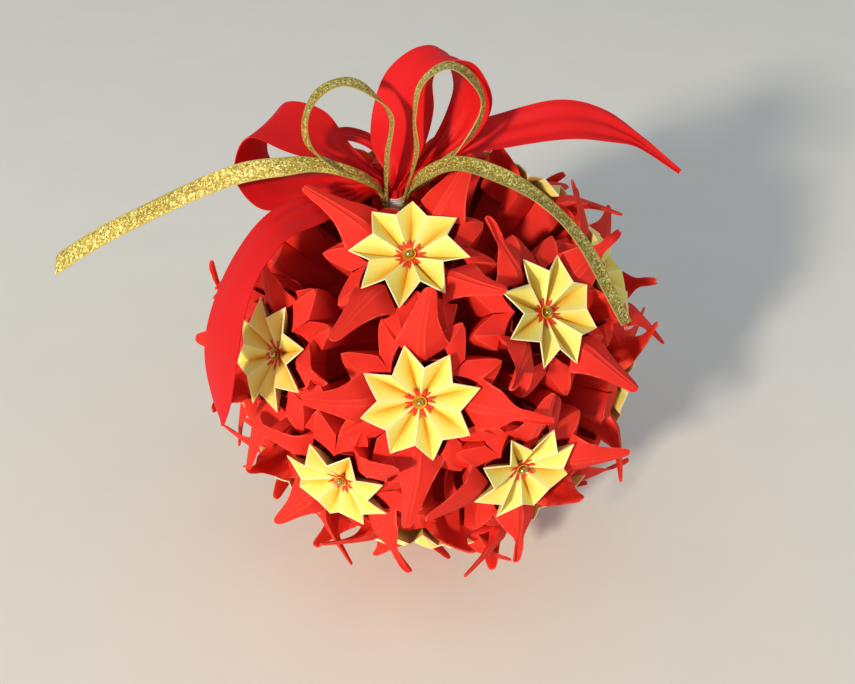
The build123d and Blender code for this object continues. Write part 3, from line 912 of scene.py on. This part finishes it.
GOLD_ROUTES = {
    "left tail": (
        ((-16.7, -2.2, 64.5), (-16.1, -2.9, 64)),
        ((-17.5, -2.7, 71.3), (-16.8, -3.6, 71.3)),
        ((-20, -5, 79), (-19.5, -9, 78)),
        ((-28, -9, 87), (-28, -13, 84.5)),
        ((-39, -10, 91), (-39, -13, 87)),
        ((-51, -11, 92), (-49, -15, 87)),
        ((-73, -12, 88), (-73, -16, 82)),
        ((-115, -14, 68), (-115, -18, 62)),
        ((-137, -16, 55), (-138, -20, 48)),
    ),
    "left loop": (
        ((-16, -3.1, 64.5), (-15.3, -3.7, 64)),
        ((-16.6, -3.7, 71.3), (-15.8, -4.4, 71.3)),
        ((-16, -8, 91), (-14.5, -13.5, 93)),
        ((-14.5, -7, 105), (-12.5, -12, 108)),
        ((-21.5, -5, 115.8), (-20.5, -11, 115.3)),
        ((-29.5, -2.5, 118), (-29.5, -8.3, 117.3)),
        ((-39.5, -2.5, 113.6), (-37.5, -8.5, 113)),
        ((-44.5, -5, 104), (-42, -10, 105.5)),
        ((-43.5, -7, 94.5), (-41, -12, 96)),
        ((-35, -9, 90), (-33, -15, 89)),
        ((-23, -5, 82), (-22, -9, 81.5)),
        ((-18, -1.8, 71.3), (-17.6, -2.7, 71.3)),
        ((-17.1, -1.2, 64.5), (-16.8, -2, 64)),
    ),
    "right loop": (
        ((-10, -3.1, 64.5), (-10.7, -3.7, 64)),
        ((-9.4, -3.7, 71.3), (-10.2, -4.4, 71.3)),
        ((-6, -9, 92), (-4, -15, 95)),
        ((-6, -8, 105), (-5, -14, 108)),
        ((-4, -7, 117.5), (-2.5, -12.5, 120)),
        ((5, -5, 124.5), (6, -11.5, 125)),
        ((14.5, -5, 120.5), (13, -12, 120.5)),
        ((19, -6, 110), (17, -11, 111.5)),
        ((15, -8, 99), (12, -15, 101)),
        ((3, -10, 90), (3, -16, 88)),
        ((-8, -1.5, 71.3), (-8.4, -2.4, 71.3)),
        ((-8.9, -1.2, 64.5), (-9.2, -2, 64)),
    ),
    "right tail": (
        ((-9.3, -2.2, 64.5), (-9.9, -2.9, 64)),
        ((-8.5, -2.7, 71.3), (-9.2, -3.6, 71.3)),
        ((-4, -12, 87), (-2, -18, 86)),
        ((9, -18, 96), (9, -24, 94)),
        ((26, -22, 93), (24, -28, 91)),
        ((40, -28, 86), (37, -34, 86)),
        ((54, -37, 74), (50, -42, 75)),
        ((69, -52, 51), (65, -56, 52)),
    ),
}


ROUTE_STEPS = 12


def through(points):
    """A smooth line through the stations."""
    points = np.array(points, float)
    before = np.vstack((2 * points[0] - points[1], points[:-1]))
    line = []
    for k in range(len(points) - 1):
        p0, p1, p2 = before[k], points[k], points[k + 1]
        p3 = points[k + 2] if k + 2 < len(points) else 2 * p2 - p1
        for t in np.linspace(0, 1, ROUTE_STEPS, endpoint=False):
            line.append(0.5 * (
                2 * p1 + (p2 - p0) * t + (2 * p0 - 5 * p1 + 4 * p2 - p3) * t ** 2
                + (3 * p1 - p0 - 3 * p2 + p3) * t ** 3
            ))
    line.append(points[-1])
    return np.array(line)


# The pleats: how many mm of spare width make 1 mm of depth, the deepest, and how many there
# are. They fade from the first to the second distance from the knot
SPARE_PER_DEPTH = 10
DEEPEST_PLEAT = 2.0
PLEAT_COUNT = 2.5
PLEATS_FADE = (10, 45)
FADE_SHARE = 0.6
PLEAT_DRIFT = 0.02
# The share of the cut width that a strip without pleats shows
SHOWN_SHARE = 0.95
# A tail is cut to a point over this much of its end
POINTED_OVER = (25, 12)
BORDER_SHARE = 0.93
# The strip's slow sway: its height in mm, and how fast it turns along the strip
SWAY = 0.25
SWAY_LENGTH = 9.0


def ribbon(sheet, route, cut, camber, gather, columns, rng):
    """A strip through the stations, gathered into small pleats towards the knot."""
    first = through([station[0] for station in route])
    second = through([station[1] for station in route])
    share = np.linspace(0, 1, columns)[None, :, None]
    points = first[:, None] + (second - first)[:, None] * share
    middle = (first + second) / 2
    steps = np.linalg.norm(np.diff(middle, axis=0), axis=1)
    length = np.concatenate(([0], np.cumsum(steps)))
    width = np.linalg.norm(second - first, axis=1)
    along = np.gradient(middle, axis=0)
    normal = np.cross(along, second - first)
    normal /= np.linalg.norm(normal, axis=1)[:, None] + 1e-9
    across = np.linspace(-1, 1, columns)[None, :]
    reach = np.minimum(length, length[-1] - length) if gather == "both" else length
    # Where the strip is narrower than it was cut, the rest of its width goes into pleats
    spare = np.clip((SHOWN_SHARE * cut - width) / SPARE_PER_DEPTH, 0, DEEPEST_PLEAT)
    spare = spare * (1 - FADE_SHARE * smooth(*PLEATS_FADE, reach))
    if gather == "start":
        # A tail narrows at its far end because it is cut to a point there
        spare = spare * (1 - smooth(*POINTED_OVER, length[-1] - length))
    phase = rng.uniform(-0.6, 0.6) + PLEAT_DRIFT * length
    pleats = spare[:, None] * np.cos(across * math.pi * PLEAT_COUNT + phase[:, None])
    wobble = rng.uniform(0, 6)
    lift = camber * (1 - across ** 2) * smooth(0, 12, length)[:, None] + pleats
    sway = SWAY * np.sin(length / SWAY_LENGTH + wobble)
    lift += sway[:, None] * across * smooth(0, 20, length)[:, None]
    points = points + normal[:, None] * lift[..., None]
    run = length[:, None]
    uv = np.stack((across * width.max() / 2 + 0 * run, run + 0 * across), -1)
    border = np.where(np.abs(across) > BORDER_SHARE, 1.0, 0.0)
    sheet.grid(points, border, uv)
    return length[-1]


RED_WIDTH = 25.0
RED_CAMBER = 0.8
RED_COLUMNS = 23
RED_THICKNESS = 0.4
GOLD_WIDTH = 6.0
GOLD_CAMBER = 0.25
GOLD_COLUMNS = 9
GOLD_THICKNESS = 0.35
red_sheet = Sheet()
red_length = 0
for name, route in RED_ROUTES.items():
    gather = "both" if "loop" in name else "start"
    red_length += ribbon(red_sheet, route, RED_WIDTH, RED_CAMBER, gather, RED_COLUMNS, rng)

# The neck that the ribbons are gathered into, with nine flutes
NECK = np.array((-13.0, 0.0, 60.0))
NECK_LENGTH = 14.0
NECK_RADIUS = 2.6
NECK_FLARE = 0.6
FLUTES = 9
FLUTE_DEPTH = 0.35
angle = np.arange(0, 360, 6.0)[None, :]
level = np.linspace(0, 1, 12)[:, None]
flute = NECK_RADIUS + FLUTE_DEPTH * np.cos(np.radians(angle * FLUTES))
flute = flute + NECK_FLARE * smooth(0.8, 1, level)
red_sheet.grid(NECK + polar_grid(flute, angle, NECK_LENGTH * level), wrap=True)
bow = red_sheet.build("red_bow")
finish_sheet(bow, RED_THICKNESS, (red_cloth,), sharp=60)
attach(bow, "root")
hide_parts("red_ribbon")

gold_sheet = Sheet()
for name, route in GOLD_ROUTES.items():
    gather = "both" if "loop" in name else "start"
    ribbon(gold_sheet, route, GOLD_WIDTH, GOLD_CAMBER, gather, GOLD_COLUMNS, rng)

# The gold band round the neck
BAND_RISE = 2.0
BAND_FOOT = NECK + np.array((0, 0, BAND_RISE))
BAND_RADIUS = 4.2
BAND_WIDTH = 3.6
BAND_BULGE = 0.3
BAND_WAVES = 7
BAND_WAVE = 0.12
BAND_DEGREES_PER_MM = 14
level = np.linspace(0, 1, 5)[:, None]
band = BAND_RADIUS + BAND_BULGE * np.sin(level * math.pi)
band = band + BAND_WAVE * np.cos(np.radians(angle * BAND_WAVES))
band_uv = np.stack(
    (angle / BAND_DEGREES_PER_MM + 0 * level, BAND_WIDTH * level + 0 * angle), -1
)
gold_sheet.grid(BAND_FOOT + polar_grid(band, angle, BAND_WIDTH * level), uv=band_uv, wrap=True)
gold = gold_sheet.build("gold_bow")
finish_sheet(gold, GOLD_THICKNESS, (gold_cloth,), sharp=60)
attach(gold, "root")
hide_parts("gold_ribbon")

# The white thread wound round the neck above the gold band
WOUND_TURNS = 10.6
WOUND_RADIUS = 3.25
WOUND_LOW = 66.0
WOUND_HIGH = 70.5
THREAD_RADIUS = 0.25
turns = np.linspace(0, 2 * math.pi * WOUND_TURNS, 330)[:, None]
round_it = np.linspace(0, 2 * math.pi, 7)[None, :-1]
# Neither the radius nor the height of the turns is quite even
wound = WOUND_RADIUS + 0.10 * np.sin(turns * 0.37) + THREAD_RADIUS * np.cos(round_it)
wound_height = WOUND_LOW + (WOUND_HIGH - WOUND_LOW) * turns / turns[-1]
wound_height = wound_height + 0.12 * np.sin(turns * 0.53)
wound_points = np.stack((
    NECK[0] + wound * np.cos(turns),
    NECK[1] + wound * np.sin(turns),
    wound_height + THREAD_RADIUS * np.sin(round_it),
), -1)
wound_sheet = Sheet()
wound_sheet.grid(wound_points, wrap=True, flip=True)
wound_piece = wound_sheet.build("wound_thread")
finish_sheet(wound_piece, 0, (thread_white,), sharp=70)
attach(wound_piece, "root")
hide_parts("binding_thread")

TUBE_SIDES = 6


def tube(sheet, line, radius, facing):
    """A thread along a line; facing is a direction across it at each point."""
    along = np.gradient(line, axis=0)
    along /= np.linalg.norm(along, axis=1)[:, None]
    first = facing - along * (facing * along).sum(axis=1)[:, None]
    first /= np.linalg.norm(first, axis=1)[:, None]
    second = np.cross(along, first)
    round_it = (np.arange(TUBE_SIDES) * 2 * math.pi / TUBE_SIDES)[None, :, None]
    points = line[:, None] + radius * (
        first[:, None] * np.cos(round_it) + second[:, None] * np.sin(round_it)
    )
    sheet.grid(points, wrap=True)


# The knot of sewing thread in the middle, with a stitch out to each lily's point
KNOT_RADIUS = 2.2
KNOT_THREAD_RADIUS = 0.3
KNOT_TURNS = 13.3
KNOT_SWINGS = 9.1
KNOT_TILT = 1.35
STITCH = (1.5, 3.6)
knot = Sheet()
winding = 2 * math.pi * np.linspace(0, 1, 700)
turned_round, tilted = KNOT_TURNS * winding, KNOT_TILT * np.sin(KNOT_SWINGS * winding)
knot_line = KNOT_RADIUS * np.stack((
    np.cos(turned_round) * np.cos(tilted),
    np.sin(turned_round) * np.cos(tilted),
    np.sin(tilted),
), -1)
tube(knot, knot_line, KNOT_THREAD_RADIUS, knot_line)
for flower in FLOWERS:
    axes = flower_axes(*flower)
    stitch = np.linspace(*STITCH, 4)[:, None] * axes[2]
    tube(knot, stitch, THREAD_RADIUS, np.broadcast_to(axes[0], stitch.shape))
knot_piece = knot.build("stitching_knot")
finish_sheet(knot_piece, 0, (thread_white,), sharp=70)
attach(knot_piece, "root")
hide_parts("centre_stitching")

# The twisted thread from that knot up to the foot of the neck
TWIST_LENGTH = 2.4
PLY_RADIUS = 0.3
PLY_SPACING = 0.8 * PLY_RADIUS
THREAD_INTO_NECK = 0.2
THREAD_FOOT_HEIGHT = 2.0
thread_top = NECK + np.array((0, 0, THREAD_INTO_NECK))
thread_foot = thread_top * THREAD_FOOT_HEIGHT / thread_top[2]
thread_run = thread_top - thread_foot
span = np.linalg.norm(thread_run)
side_one = np.cross(thread_run / span, (0, 1, 0))
side_one /= np.linalg.norm(side_one)
side_two = np.cross(thread_run / span, side_one)
step = np.linspace(0, 1, 260)[:, None]
hanging = Sheet()
for start in (0, math.pi):
    swing = 2 * math.pi * span / TWIST_LENGTH * step + start
    aside = PLY_SPACING * (side_one * np.cos(swing) + side_two * np.sin(swing))
    ply = thread_foot + thread_run * step + aside
    tube(hanging, ply, PLY_RADIUS, np.broadcast_to(side_one, ply.shape))
hanging_piece = hanging.build("hanging_twist")
finish_sheet(hanging_piece, 0, (thread_white,), sharp=70)
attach(hanging_piece, "root")
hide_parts("hanging_thread")

# Floor, sky and lamps
FLOOR_HALF = 3.0
SKY = (0.76, 0.87, 1.0)
SKY_STRENGTH = 0.46
floor_mesh = bpy.data.meshes.new("floor")
floor_corners = [
    (x * FLOOR_HALF, y * FLOOR_HALF, 0) for x, y in ((-1, -1), (1, -1), (1, 1), (-1, 1))
]
floor_mesh.from_pydata(floor_corners, [], [(0, 1, 2, 3)])
floor = bpy.data.objects.new("floor", floor_mesh)
scene.collection.objects.link(floor)
floor_mesh.materials.append(floor_material)

world = bpy.data.worlds.new("world")
world.use_nodes = True
background = world.node_tree.nodes["Background"]
background.inputs["Color"].default_value = (*SKY, 1)
background.inputs["Strength"].default_value = SKY_STRENGTH
scene.world = world


def lamp(name, place, size, power, colour):
    """A round lamp at a place in metres from the ball's middle, facing it."""
    data = bpy.data.lights.new(name, "AREA")
    data.shape = "DISK"
    data.size = size
    data.energy = power
    data.color = colour
    made = bpy.data.objects.new(name, data)
    scene.collection.objects.link(made)
    made.location = Vector(MIDDLE) + Vector(place)
    made.rotation_euler = Vector(place).to_track_quat("Z", "Y").to_euler()


lamp("key", (-1.50, -2.42, 1.28), size=0.30, power=84.0, colour=(1.0, 0.94, 0.82))
lamp("fill", (0.9, -0.5, 0.6), size=0.9, power=0.8, colour=(0.95, 0.97, 1.0))
